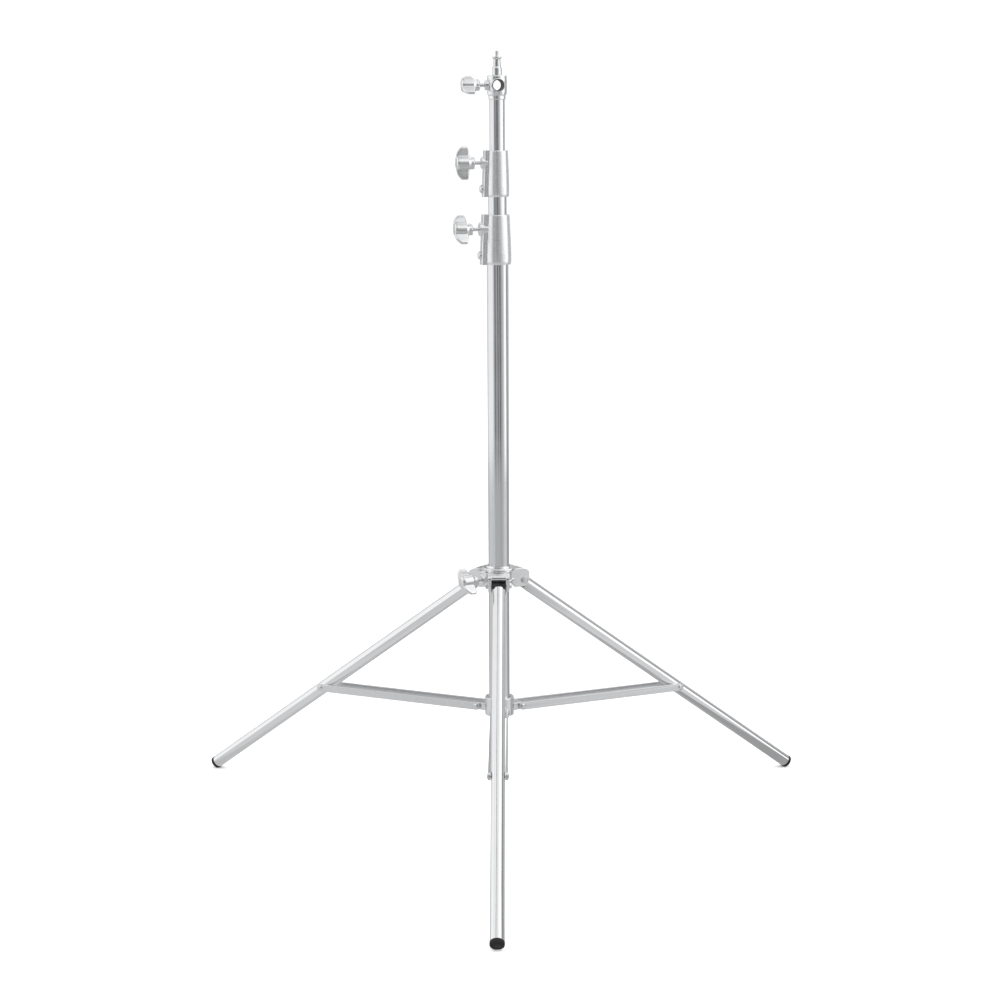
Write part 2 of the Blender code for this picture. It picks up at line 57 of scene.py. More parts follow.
CAMERA_HEIGHT = 1.2154

camera = bpy.data.objects.new("camera", bpy.data.cameras.new("camera"))
bpy.context.collection.objects.link(camera)
camera.data.sensor_width = 36
camera.data.lens = 81.36
camera.data.shift_x = 0.0019
camera.data.shift_y = -0.0150
camera_place = (CAMERA_DISTANCE * sin(CAMERA_YAW), COLUMN_Y - CAMERA_DISTANCE * cos(CAMERA_YAW),
                CAMERA_HEIGHT)
camera.matrix_world = (
    Matrix.Translation(camera_place)
    @ Matrix.Rotation(CAMERA_YAW, 4, "Z")
    @ Matrix.Rotation(pi / 2 - CAMERA_TILT, 4, "X")
    @ Matrix.Rotation(CAMERA_ROLL, 4, "Z")
)
bpy.context.scene.camera = camera


# ---------------------------------------------------------------------------------------------
# Studio: a white paper sweep under an even white sky, two softboxes and one overhead. Plated tube shows its
# surroundings, so a ring of panels and a striped ceiling stand round it for mirrors only: they glow, light
# nothing else, and paint the reflections in the metals.
def linear(colour):
    """sRGB hex to linear light: the sRGB curve undone for each channel, with alpha 1."""
    parts = np.array([int(colour[i:i + 2], 16) for i in (1, 3, 5)]) / 255
    return (*np.where(parts <= 0.04045, parts / 12.92, ((parts + 0.055) / 1.055) ** 2.4), 1)


def node(tree, kind, inputs, **settings):
    """Adds one node; a socket among the inputs is linked, and anything else is set as a value."""
    made = tree.nodes.new(kind)
    for key, value in settings.items():
        setattr(made, key, value)
    for key, value in inputs.items():
        if isinstance(value, bpy.types.NodeSocket):
            tree.links.new(value, made.inputs[key])
        else:
            made.inputs[key].default_value = value
    return made


def ranged(tree, value, source=(0.0, 1.0), target=(0.0, 1.0)):
    """Carries a socket's value from the source range to the target range, held at both ends."""
    return node(tree, "ShaderNodeMapRange", {"Value": value, "From Min": source[0], "From Max": source[1],
                                             "To Min": target[0], "To Max": target[1]}).outputs["Result"]


def between(tree, share, first, second):
    """A colour between two, by a socket's share of the second."""
    return node(tree, "ShaderNodeMix", {0: share, 6: first, 7: second}, data_type="RGBA").outputs[2]


def shader_of(name, **inputs):
    """A new material and its Principled shader, with the values that are the same all over it."""
    made = bpy.data.materials.new(name)
    made.use_nodes = True
    shader = made.node_tree.nodes["Principled BSDF"]
    for key, value in inputs.items():
        shader.inputs[key.replace("_", " ")].default_value = value
    return made, made.node_tree, shader


def panels(name, corners, finish):
    """Separate flat panels, four corners each, in one mesh that belongs to the studio."""
    mesh = bpy.data.meshes.new(name)
    mesh.from_pydata(corners.reshape(-1, 3), [], np.arange(corners.size // 3).reshape(-1, 4).tolist())
    mesh.materials.append(finish)
    made = bpy.data.objects.new(name, mesh)
    bpy.context.collection.objects.link(made)
    return made


def mirrored_panels(name, corners, glow):
    """Panels that only glossy surfaces see, each glowing as brightly as its share of white says: painted
    reflections that light nothing.
    """
    reflection_glow, tree = shader_of(name + "_cloth")[:2]
    share = node(tree, "ShaderNodeAttribute", {}, attribute_name="glow")
    light = node(tree, "ShaderNodeEmission", {"Strength": share.outputs["Fac"]})
    tree.links.new(light.outputs["Emission"], tree.nodes["Material Output"].inputs["Surface"])
    made = panels(name, corners, reflection_glow)
    made.data.attributes.new("glow", "FLOAT", "FACE").data.foreach_set("value", glow)
    made.visible_camera = made.visible_diffuse = made.visible_shadow = False
    made.visible_transmission = made.visible_volume_scatter = False


def softbox(name, width, height, place, aim, power):
    """A rectangular lamp aimed at a point; the metals don't mirror it."""
    lamp = bpy.data.lights.new(name, "AREA")
    lamp.shape = "RECTANGLE"
    lamp.size = width
    lamp.size_y = height
    lamp.energy = power
    made = bpy.data.objects.new(name, lamp)
    made.location = place
    made.rotation_euler = (Vector(aim) - Vector(place)).to_track_quat("-Z", "Y").to_euler()
    made.visible_glossy = False
    bpy.context.collection.objects.link(made)


def level(x_edges, y_edges, height):
    """Corners of the level rectangles between neighbouring x edges, all from one y edge to the other."""
    west, east = np.array(x_edges[:-1], float), np.array(x_edges[1:], float)
    south, north = y_edges
    rows = [(west, south), (east, south), (east, north), (west, north)]
    return np.stack([np.stack([x, y + 0 * x, height + 0 * x], 1) for x, y in rows], 1)


sweep, tree, shader = shader_of("white_paper_sweep", Roughness=0.9)
grain = node(tree, "ShaderNodeTexNoise", {"Scale": 3.0, "Detail": 2.0})
tree.links.new(ranged(tree, grain.outputs["Fac"], target=(0.96, 0.98)), shader.inputs["Base Color"])
FLOOR_REACH = 20.0
floor = panels("floor", level((-FLOOR_REACH, FLOOR_REACH), (-FLOOR_REACH, FLOOR_REACH), 0.0), sweep)
# Reflections don't see the white floor; the mirrored floor tier below stands in for it there, a painted
# reflection with a brightness of its own.
floor.visible_glossy = False

# The mirrored surroundings, sector by sector: each ends at an azimuth in degrees, 0 behind the camera
# and growing to its right, and has the brightness of its floor, its wall below RING_SPLIT and above it.
RING_RADIUS = 3.8
RING_SPLIT = 0.78
RING_TOP = 3.2
JUST_OVER_FLOOR = 0.0002
RING = np.array([
    (-168, 0.58, 0.34, 0.36), (-156, 0.48, 0.80, 0.84), (-147, 0.55, 0.30, 0.32), (-140, 0.60, 0.60, 0.62),
    (-115, 0.62, 1.00, 1.00), (-75, 0.74, 1.12, 1.12), (-56, 0.68, 1.12, 1.12),
    (-46, 0.70, 0.85, 0.80), (-36, 0.62, 0.50, 0.40), (-25, 0.54, 0.18, 0.18), (-14, 0.55, 0.40, 0.48),
    (-5, 0.57, 0.48, 0.20), (6, 0.53, 0.14, 0.14), (16, 0.56, 0.50, 0.34), (27, 0.51, 0.15, 0.45),
    (38, 0.50, 0.34, 0.60), (48, 0.54, 0.55, 0.90), (60, 0.62, 0.60, 1.30), (70, 0.72, 0.90, 1.45),
    (100, 0.76, 1.38, 1.45), (122, 0.40, 0.28, 0.34), (134, 0.52, 0.75, 0.75),
    (143, 0.46, 0.36, 0.38), (154, 0.60, 0.72, 0.76), (164, 0.50, 0.30, 0.30), (172, 0.62, 0.82, 0.86),
    (180, 0.66, 0.58, 0.58)])
ends = np.radians(np.append(-180, RING[:, 0]))


def circle(radius, height):
    """The sectors' ends on a level circle about the column."""
    return np.stack([radius * np.sin(ends), COLUMN_Y - radius * np.cos(ends), height + 0 * ends], 1)


def tier(near, far):
    """The sectors' panels between two circles."""
    return np.stack([near[:-1], near[1:], far[1:], far[:-1]], 1)


split_circle = circle(RING_RADIUS, RING_SPLIT)
surroundings = [tier(circle(0, JUST_OVER_FLOOR), circle(FLOOR_REACH, JUST_OVER_FLOOR)),
                tier(circle(RING_RADIUS, 0), split_circle), tier(split_circle, circle(RING_RADIUS, RING_TOP))]
mirrored_panels("surroundings_mirrored", np.concatenate(surroundings), RING[:, 1:].T.reshape(-1))

# The mirrored ceiling's stripes, left to right: each ends at an x and has its own brightness.
CEILING = np.array([
    (-2.4, 1.00), (-1.45, 1.10), (-0.98, 0.22), (-0.2, 1.00), (0.2, 0.80), (1.3, 1.05), (6, 1.30)])
CEILING_REACH = 6
CEILING_HEIGHT = 4.2
stripes = level(np.append(-CEILING_REACH, CEILING[:, 0]), (-CEILING_REACH, CEILING_REACH), CEILING_HEIGHT)
mirrored_panels("ceiling_mirrored", stripes, CEILING[:, 1])

world = bpy.data.worlds.new("studio")
world.use_nodes = True
world.node_tree.nodes["Background"].inputs["Color"].default_value = linear("#FFFFFF")
world.node_tree.nodes["Background"].inputs["Strength"].default_value = 1.1
bpy.context.scene.world = world
bpy.context.scene.view_settings.view_transform = "Standard"
softbox("left_softbox", 1.4, 3.2, (-3.0, -2.2, 2.0), (0, COLUMN_Y, 0.7), 18)
softbox("right_softbox", 1.8, 3.4, (3.2, -1.6, 1.9), (0, COLUMN_Y, 0.7), 38)
softbox("overhead_softbox", 6.0, 5.0, (0.3, -0.4, 3.8), (0, COLUMN_Y, 0.3), 130)


# ---------------------------------------------------------------------------------------------
# Column: drawn steel tube of 35 mm, bright plated and polished, its ends cut square and eased.
# It carries everything else, and its nylon end cap shows below the spreader.
def skin(grid, looped=False):
    """Closed skin over a grid of points, rows along a profile and columns round it: quads between
    neighbours, and a corner map in metres, u round the widest row and v along the mean profile. The faces
    are turned outwards by the sign of the volume."""
    rows, columns = grid.shape[:2]
    i, j = np.meshgrid(np.arange(rows if looped else rows - 1), np.arange(columns), indexing="ij")
    row, below = i * columns, (i + 1) % rows * columns
    beside = (j + 1) % columns
    faces = np.stack([row + j, row + beside, below + beside, below + j], -1)
    around = np.linalg.norm(np.roll(grid, -1, 1) - grid, axis=2).sum(1).max() / columns
    steps = np.linalg.norm(np.roll(grid, -1, 0) - grid, axis=2).mean(1)
    along = np.concatenate([[0], np.cumsum(steps)])
    u = np.stack([j, j + 1, j + 1, j], -1) * around
    v = np.stack([along[i], along[i], along[i + 1], along[i + 1]], -1)
    points = grid.reshape(-1, 3)
    faces = faces.reshape(-1, 4)
    chart = np.stack([u, v], -1).reshape(-1, 4, 2)
    first, second, third, fourth = (points[faces[:, corner]] for corner in range(4))
    volume = (np.cross(second, third) * first).sum() + (np.cross(third, fourth) * first).sum()
    if volume < 0:
        faces, chart = faces[:, ::-1], chart[:, ::-1]
    return points, faces, chart


def softened(points, radius, closed=False, steps=4):
    """Rounds each corner of a line: a quadratic curve between two points at a radius, or 45% of a side,
    from the corner."""
    points = np.array(points, float)
    before, after = np.roll(points, 1, 0) - points, np.roll(points, -1, 0) - points

    def along(side):
        length = np.maximum(np.linalg.norm(side, axis=1), 1e-9)
        return points + side * np.minimum(0.45, radius / length)[:, None]
    start, end = along(before), along(after)
    t = np.linspace(0, 1, steps)[None, :, None]
    curve = (1 - t) ** 2 * start[:, None] + 2 * t * (1 - t) * points[:, None] + t ** 2 * end[:, None]
    if closed:
        return curve.reshape(-1, 2)
    return np.concatenate([points[:1], curve[1:-1].reshape(-1, 2), points[-1:]])


def turned(profile, edge=0.0004, looped=False, facets=72, lobes=None):
    """Turned skin: each (radius, height) point of the softened profile carried round Z. lobes, when
    given, maps the radius and height rows and the angle columns to a new radius."""
    profile = softened(profile, edge, closed=looped)
    angle = np.linspace(0, 2 * pi, facets, endpoint=False)[None, :]
    radius, height = profile[:, :1], profile[:, 1:]
    radius = radius + 0 * angle if lobes is None else lobes(radius, height, angle)
    return skin(np.stack([radius * np.cos(angle), radius * np.sin(angle), height + 0 * angle], -1), looped)


def placed(shape, matrix):
    """A skin moved by a matrix."""
    points, faces, chart = shape
    turn = np.array(matrix, float)
    return points @ turn[:3, :3].T + turn[:3, 3], faces, chart


def piece(name, shapes, finish, body, nodes):
    """One object at the origin from closed skins in place: poles are merged, the chart becomes its UV
    map, and flat faces keep their shading by weighted normals. It rides on a body and stands for the
    CAD nodes."""
    counts = np.cumsum([0] + [len(shape[0]) for shape in shapes])
    points = np.concatenate([shape[0] for shape in shapes])
    faces = np.concatenate([shape[1] + start for shape, start in zip(shapes, counts)])
    chart = np.concatenate([shape[2] for shape in shapes])
    mesh = bpy.data.meshes.new(name)
    mesh.from_pydata(points, [], faces.tolist())
    mesh.uv_layers.new(name="UVMap").data.foreach_set("uv", chart.reshape(-1))
    mould = bmesh.new()
    mould.from_mesh(mesh)
    bmesh.ops.remove_doubles(mould, verts=mould.verts[:], dist=1e-6)
    mould.to_mesh(mesh)
    mould.free()
    mesh.shade_smooth()
    mesh.materials.append(finish)
    made = bpy.data.objects.new(name, mesh)
    bpy.context.collection.objects.link(made)
    weighted = made.modifiers.new("weighted_normals", "WEIGHTED_NORMAL")
    weighted.weight = 100
    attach(made, body)
    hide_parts(*nodes)
    return made


def dress(tree, shader, tone, roughness, height, strength, distance):
    """Gives a shader its colour, its roughness and a bump from a height."""
    bump = node(tree, "ShaderNodeBump", {"Height": height, "Strength": strength, "Distance": distance})
    tree.links.new(tone, shader.inputs["Base Color"])
    tree.links.new(roughness, shader.inputs["Roughness"])
    tree.links.new(bump.outputs["Normal"], shader.inputs["Normal"])


def summed(tree, first, second):
    """Two sockets' values added."""
    return node(tree, "ShaderNodeMath", {0: first, 1: second}, operation="ADD").outputs["Value"]


def noise_at(tree, place, scale, detail):
    """Cloudy noise from 0 to 1, scale waves to a unit of the place."""
    made = node(tree, "ShaderNodeTexNoise", {"Vector": place, "Scale": scale, "Detail": detail})
    return made.outputs["Fac"]


def plated_tube_finish(name, colour, pale, low, high):
    """Nickel-bright plated steel tube: a mirror softened by draw lines 0.5 mm apart along it, faint haze
    from handling some 30 mm across, and fine scuffs round it where the collars slide."""
    made, tree, shader = shader_of(name, Metallic=1.0)
    chart = node(tree, "ShaderNodeUVMap", {}, uv_map="UVMap").outputs["UV"]

    def noise(scale, detail):
        place = node(tree, "ShaderNodeMapping", {"Vector": chart, "Scale": scale}).outputs["Vector"]
        return noise_at(tree, place, 1.0, detail)
    lines = noise((2000, 6, 1), 3.0)
    haze = noise((33, 22, 1), 5.0)
    scuffs = noise((14, 900, 1), 2.0)
    tone = between(tree, haze, linear(colour), linear(pale))
    scuffed = ranged(tree, scuffs, (0.60, 0.78), (0.0, 0.07))
    rough = summed(tree, ranged(tree, haze, (0.3, 0.7), (low, high)), scuffed)
    dress(tree, shader, tone, rough, summed(tree, lines, scuffs), 0.05, 0.0003)
    return made


def tube_profile(outer, wall, low, high):
    """Section of an open tube, for turning."""
    return [(outer, low), (outer, high), (outer - wall, high), (outer - wall, low)]


def around_column(azimuth, height=0.0, out=0.0):
    """Turns a shape built round the world's Z to an azimuth in degrees and stands it off the column."""
    return (Matrix.Translation((0, COLUMN_Y, height)) @ Matrix.Rotation(radians(azimuth), 4, "Z")
            @ Matrix.Translation((out, 0, 0)))


OUTWARDS = Matrix.Rotation(pi / 2, 4, "Y")  # lays a turned shape's own +Z along +X
TUBE_WALL = 0.0015
column_plate = plated_tube_finish("bright_plated_column_steel", "#D9DADC", "#E1E2E4", 0.08, 0.15)
column_tube = turned(tube_profile(0.0175, TUBE_WALL, 0.183, 0.980), looped=True, facets=96)
piece("column_tube_drawn", [placed(column_tube, around_column(0))],
      column_plate, "column", ["column_tube"])


def dark_grained_finish(name, colour, roughness, grit, relief):
    """Dull dark surface, moulded, or painted shade in a bore: a fine grain, one every grit millimetres, and
    paler rubbed patches."""
    made, tree, shader = shader_of(name, Specular_IOR_Level=0.4)
    place = node(tree, "ShaderNodeTexCoord", {}).outputs["Object"]
    grain = noise_at(tree, place, 1000 / grit, 2.0)
    rubbed = noise_at(tree, place, 90.0, 4.0)
    tone = between(tree, ranged(tree, rubbed, (0.5, 0.75)), linear(colour), linear("#3A3B3C"))
    rough = ranged(tree, grain, target=(roughness - 0.1, roughness + 0.1))
    dress(tree, shader, tone, rough, grain, relief, 0.0002)
    return made


nylon = dark_grained_finish("spark_grained_black_nylon", "#161617", 0.52, 0.35, 0.35)
end_cap = turned([(0, 0.195), (0.0157, 0.195), (0.0157, 0.1827), (0.0175, 0.1827), (0.0175, 0.1797),
                  (0.012, 0.1797), (0.011, 0.1805), (0, 0.1805)], 0.0008)
piece("column_end_cap_moulded", [placed(end_cap, around_column(0))],
      nylon, "column", ["column_end_cap"])


# ---------------------------------------------------------------------------------------------
# Risers: two lighter tubes, 30 and 25 mm, that telescope in the column. Each is the same plated
# steel, rubbed a little duller, with a black nylon bush at its foot that never leaves the tube.
riser_plate = plated_tube_finish("rubbed_plated_riser_steel", "#D8D9DB", "#E1E2E4", 0.09, 0.17)
for which, outer, low, high in (("middle", 0.0150, 0.240, 1.087), ("top", 0.0125, 0.350, 1.2127)):
    riser = turned(tube_profile(outer, TUBE_WALL, low, high), looped=True, facets=96)
    piece(f"{which}_riser_drawn", [placed(riser, around_column(0))],
          riser_plate, f"{which}_section", [f"{which}_tube"])
for bush in ("middle_tube_guide", "top_tube_guide"):
    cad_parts[bush].material_slots[0].material = nylon


# ---------------------------------------------------------------------------------------------
# Clamp collars: die-cast alloy barrels between the tubes, barrel-finished to a satin. Each has a
# flat rib on the knob's side, a round boss for the knob's screw and a dome-headed fixing screw.
def cast_alloy_finish(name, colour, pale, low, high, metallic=1.0, relief=0.06):
    """Satin die-cast alloy: tumbling marks about a millimetre long, pores a third of a millimetre across,
    and edges rubbed brighter than the hollows. relief is how strongly marks and pores catch the light.
    Oxide leaves a blasted casting a little less than metallic."""
    made, tree, shader = shader_of(name, Metallic=metallic)
    place = node(tree, "ShaderNodeTexCoord", {}).outputs["Object"]
    marks = noise_at(tree, place, 900.0, 3.0)
    cloud = noise_at(tree, place, 110.0, 4.0)
    pores = node(tree, "ShaderNodeTexVoronoi", {"Vector": place, "Scale": 1600.0}).outputs["Distance"]
    edge = node(tree, "ShaderNodeNewGeometry", {}).outputs["Pointiness"]
    tone = between(tree, cloud, linear(colour), linear(pale))
    tone = between(tree, ranged(tree, edge, (0.50, 0.58)), tone, linear("#F2F2F3"))
    rough = ranged(tree, marks, (0.3, 0.7), (low, high))
    dress(tree, shader, tone, rough, summed(tree, marks, ranged(tree, pores, (0.0, 0.25))), relief, 0.0003)
    return made


def ribbed_barrel(ribs):
    """Radius of a barrel with flat ribs, each (azimuth, reach at a height, half width): the rib is a
    rectangle whose corners are rounded by a power of 10, and a power of 26 blends it into the barrel."""
    def lobes(radius, height, angle):
        total = radius ** 26 + 0 * angle
        for azimuth, reach, half in ribs:
            swing = angle - radians(azimuth)
            facing = np.maximum(np.cos(swing), 1e-3)
            rib = ((facing / reach(height)) ** 10 + (np.abs(np.sin(swing)) / half) ** 10) ** -0.1
            total = total + np.where(np.cos(swing) > 0, rib, 0) ** 26
        return total ** (1 / 26)
    return lobes


def dome(head, rise, tip):
    """A round-headed screw, dished in the middle, its shank going down to the tip."""
    return turned([(0, rise * 0.72), (head * 0.16, rise * 0.74), (head * 0.30, rise * 0.99),
                   (head * 0.55, rise * 0.93), (head * 0.86, rise * 0.62), (head, rise * 0.2), (head, 0),
                   (0.003, 0), (0.003, tip), (0, tip)], 0.0005, facets=48)


def clamp_collar(which, body, span, tubes, step, barrel, rib, boss, knob_height, screw_height):
    """A collar between its span's heights: the barrel of (radius, share of the way down) points, with a rib
    of (reach at the top, reach at the foot, half width), is bored for the tubes below and above a step.
    The boss is (reach, radius)."""
    low, high = span
    tall = high - low
    top_out, foot_out, half = rib
    lower_bore, upper_bore = tubes[0] + RUNNING_GAP, tubes[1] + RUNNING_GAP
    outer = [(radius, high - share * tall) for radius, share in reversed(barrel)]
    ends = [(upper_bore, high), (upper_bore, step + RUNNING_GAP), (lower_bore, step + RUNNING_GAP),
            (lower_bore, low)]
    bores = max(lower_bore, upper_bore) + 1e-5

    def rib_reach(height):
        return foot_out + (top_out - foot_out) * (height - low) / tall

    def lobes(radius, height, angle):
        shaped = ribbed_barrel([(COLLAR_AZIMUTH, rib_reach, half)])
        return np.where(radius > bores, shaped(radius, height, angle), radius + 0 * angle)
    body_skin = turned(outer + ends, 0.0009, looped=True, facets=240, lobes=lobes)
    reach, radius = boss
    boss_skin = turned([(0, 0.017), (radius + 0.0006, 0.017), (radius, reach - 0.0035),
                        (radius - 0.0004, reach), (0.0042, reach), (0.0036, reach - 0.0015),
                        (0, reach - 0.0015)], 0.0010, facets=64)
    boss_seat = around_column(COLLAR_AZIMUTH, knob_height) @ OUTWARDS
    piece(f"{which}_collar_cast", [placed(body_skin, around_column(0)), placed(boss_skin, boss_seat)],
          satin_cast, body, [f"{which}_collar"])
    screw_seat = around_column(COLLAR_AZIMUTH, screw_height, rib_reach(screw_height)) @ OUTWARDS
    piece(f"{which}_fixing_screw_head", [placed(dome(0.0070, 0.0055, -0.006), screw_seat)],
          zinc, body, [f"{which}_fixing_screw"])
    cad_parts[f"{which}_brake_pad"].material_slots[0].material = nylon


COLLAR_AZIMUTH = 193
RUNNING_GAP = 0.0003
satin_cast = cast_alloy_finish("satin_die_cast_alloy", "#DEDFE1", "#E8E9EA", 0.24, 0.33, 0.94)
tumbled_cast = cast_alloy_finish("tumbled_bright_cast_alloy", "#DFE0E2", "#EAEBEC", 0.14, 0.24, relief=0.04)
zinc = cast_alloy_finish("bright_zinc_plated_steel", "#D0D2D4", "#DEE0E2", 0.12, 0.20, relief=0.02)
clamp_collar("lower", "column", (0.9386, 1.0189), (0.0175, 0.0150), 0.980,
             [(0.0188, 0), (0.0196, 0.012), (0.0203, 0.20), (0.0214, 0.50), (0.0222, 0.78), (0.0222, 0.95),
              (0.0212, 1)], (0.0253, 0.0283, 0.0105), (0.0305, 0.0112), 0.9955, 0.9535)
clamp_collar("upper", "middle_section", (1.0477, 1.1218), (0.0150, 0.0125), 1.087,
             [(0.0168, 0), (0.0174, 0.012), (0.0180, 0.20), (0.0187, 0.50), (0.0193, 0.78), (0.0193, 0.95),
              (0.0185, 1)], (0.0221, 0.0248, 0.0095), (0.0268, 0.0096), 1.1020, 1.0602)


# ---------------------------------------------------------------------------------------------
# Wing knobs: one-piece castings, a round hub with two blunt wings, polished by handling. Each is
# pinned on a plated M6 stud, which in a collar presses a nylon shoe on the tube.
def wing_knob_skin(near):
    """Rows along the knob's axis and columns round it. The hub's radius and the wing's reach follow the
    distance along it; a wing is a superellipse of power 5, and a power of 9 blends it into the hub."""
    length, reach, half = 0.030, 0.0268, 0.0035
    t = np.concatenate([[0, 0], np.linspace(0, 1, 60), [1, 1]])
    hub = np.interp(t, [0, 0.03, 0.06, 0.20, 0.28, 0.34, 0.86, 0.95, 1.0],
                    [0.0072, 0.0086, 0.0092, 0.0092, 0.0100, 0.0110, 0.0110, 0.0098, 0.0080])
    edge = np.clip((t - 0.262) / 0.10, 0, 1) ** 0.5 * np.clip((0.985 - t) / 0.30, 0, 1) ** 0.42
    wing = 0.0095 + (reach - 0.0095) * edge
    thick = half * (0.75 + 0.25 * np.clip((t - 0.26) / 0.08, 0, 1) * np.clip((0.99 - t) / 0.08, 0, 1))
    angle = np.linspace(0, 2 * pi, 240, endpoint=False)
    angle = (angle - 0.42 * np.sin(2 * angle))[None, :]
    along, through = np.abs(np.cos(angle)) / wing[:, None], np.abs(np.sin(angle)) / thick[:, None]
    radius = ((along ** 5 + through ** 5) ** -1.8 + hub[:, None] ** 9) ** (1 / 9)
    radius[[0, -1]] = 0
    radius[1] *= 0.92
    height = near + length * np.clip(t, 0, 1)[:, None] + 0 * angle
    return skin(np.stack([radius * np.cos(angle), radius * np.sin(angle), height], -1))


def threaded(radius, low, high, pitch=0.001, depth=0.00042):
    """A screw thread: the radius falls and rises with the height in pitches less the share of a turn, so
    the ridge climbs one pitch a turn."""
    heights = np.linspace(low, high, int((high - low) / pitch * 8) + 2)
    heights = np.concatenate([[low], heights, [high]])[:, None]
    angle = np.linspace(0, 2 * pi, 40, endpoint=False)[None, :]
    phase = (heights / pitch - angle / (2 * pi)) % 1
    ridge = radius - depth * np.abs(2 * phase - 1)
    ridge[[0, -1]] = 0
    return skin(np.stack([ridge * np.cos(angle), ridge * np.sin(angle), heights + 0 * angle], -1))


KNOBS = {  # body, height, azimuth, turn of the wings, distances to the stud's tip and to the knob
    "head": ("head_clamp", 1.2253, 188, 62, 0.0086, 0.0280),
    "upper": ("upper_clamp", 1.1020, 193, 4, 0.0156, 0.0380),
    "lower": ("lower_clamp", 0.9955, 193, 36, 0.0181, 0.0420),
    "leg_collar": ("leg_clamp", 0.4176, 210, 50, 0.0206, 0.0430),
}
knob_cast = cast_alloy_finish("handled_bright_cast_alloy", "#DADBDD", "#E6E7E8", 0.20, 0.28, relief=0.02)
for which, (body, height, azimuth, turn, tip, near) in KNOBS.items():
    along = around_column(azimuth, height) @ OUTWARDS
    wings = around_column(azimuth, height) @ Matrix.Rotation(radians(turn), 4, "X") @ OUTWARDS
    piece(f"{which}_wing_knob", [placed(wing_knob_skin(near), wings)],
          knob_cast, body, [f"{which}_knob"])
    piece(f"{which}_stud_threaded", [placed(threaded(0.0030, tip, near + 0.002), along)],
          zinc, body, [f"{which}_stud"])


# ---------------------------------------------------------------------------------------------
# Head: a cast cap pressed on the top riser, bored across by a socket for a second arm, with the
# knob's boss on its left. The spigot screws into its top: a steel stud with a waist and a thread.
RIM = 1.2024
HEAD_FOOT = 1.2090
HEAD_TOP = 1.2409
SOCKET_HEIGHT, BOSS_AZIMUTH = KNOBS["head"][1:3]
SOCKET_R, SOCKET_HALF, SOCKET_CHAMFER = 0.0083, 0.0164, 0.0029
head_skin = turned([(0, HEAD_TOP), (0.0145, HEAD_TOP), (0.0158, HEAD_TOP - 0.0014),
                    (0.0161, HEAD_TOP - 0.008), (0.0161, HEAD_FOOT + 0.006), (0.0152, HEAD_FOOT + 0.001),
                    (0.0138, HEAD_FOOT), (0.0138, RIM + 0.001), (0.0132, RIM), (0.0128, RIM),
                    (0.0128, HEAD_FOOT + 0.0037), (0, HEAD_FOOT + 0.0037)], 0.0005, facets=120)
across = around_column(BOSS_AZIMUTH + 90, SOCKET_HEIGHT) @ OUTWARDS
boss = turned([(0, 0.008), (0.0088, 0.008), (0.0080, 0.0180), (0.0076, 0.0200), (0.0042, 0.0200),
               (0.0036, 0.0188), (0, 0.0188)], 0.0008, facets=64)
socket_ring = turned([(0, -0.018), (0.0104, -0.018), (0.0110, -0.0172), (0.0110, 0.0172), (0.0104, 0.018),
                      (0, 0.018)], 0.0005, facets=96)
mouth_r, mouth = SOCKET_R + SOCKET_CHAMFER, SOCKET_HALF + SOCKET_CHAMFER
socket = turned([(0, -0.03), (mouth_r, -0.03), (mouth_r, -mouth), (SOCKET_R, -SOCKET_HALF),
                 (SOCKET_R, SOCKET_HALF), (mouth_r, mouth), (mouth_r, 0.03), (0, 0.03)], 0.0001, facets=96)
head = piece("head_cast_cap", [placed(head_skin, around_column(0))],
             tumbled_cast, "top_section", ["head_casting"])
helpers = [piece(name, [placed(shape, place)], tumbled_cast, "top_section", [])
           for name, shape, place in (("socket_ring", socket_ring, across),
                                      ("boss", boss, around_column(BOSS_AZIMUTH, SOCKET_HEIGHT) @ OUTWARDS),
                                      ("socket", socket, across))]
head.modifiers.clear()
for helper, operation in zip(helpers, ("UNION", "UNION", "DIFFERENCE")):
    helper.modifiers.clear()
    change = head.modifiers.new(helper.name, "BOOLEAN")
    change.object = helper
    change.operation = operation
    change.solver = "EXACT"
bpy.context.view_layer.update()
graph = bpy.context.evaluated_depsgraph_get()
cut_mesh = bpy.data.meshes.new_from_object(head.evaluated_get(graph))
head.modifiers.clear()
head.data = cut_mesh
for helper in helpers:
    bpy.data.objects.remove(helper)
mould = bmesh.new()
mould.from_mesh(cut_mesh)
bmesh.ops.remove_doubles(mould, verts=mould.verts[:], dist=5e-6)
mould.to_mesh(cut_mesh)
mould.free()
cut_mesh.set_sharp_from_angle(angle=radians(35))
# The cross socket's bore and its chamfers get a dark grey finish: painted shade in the recess.
painted_shade_bore = dark_grained_finish("painted_shade_cast_bore", "#4A4B4D", 0.55, 0.5, 0.3)
cut_mesh.materials.append(painted_shade_bore)
centres = np.empty(len(cut_mesh.polygons) * 3)
cut_mesh.polygons.foreach_get("center", centres)
local = placed((centres.reshape(-1, 3), [], []), across.inverted())[0]
PAINTED_SHADE_R, PAINTED_SHADE_HALF = 0.0098, 0.0179  # takes in the bore and its chamfers
painted_shade_faces = (np.hypot(local[:, 0], local[:, 1]) < PAINTED_SHADE_R) & (np.abs(local[:, 2]) < PAINTED_SHADE_HALF)
cut_mesh.polygons.foreach_set("material_index", painted_shade_faces.astype(np.int32))
eased = head.modifiers.new("eased_edges", "BEVEL")
eased.width = 0.0004
eased.segments = 2
eased.limit_method = "ANGLE"
eased.angle_limit = radians(40)
weighted = head.modifiers.new("weighted_normals", "WEIGHTED_NORMAL")
weighted.keep_sharp = True

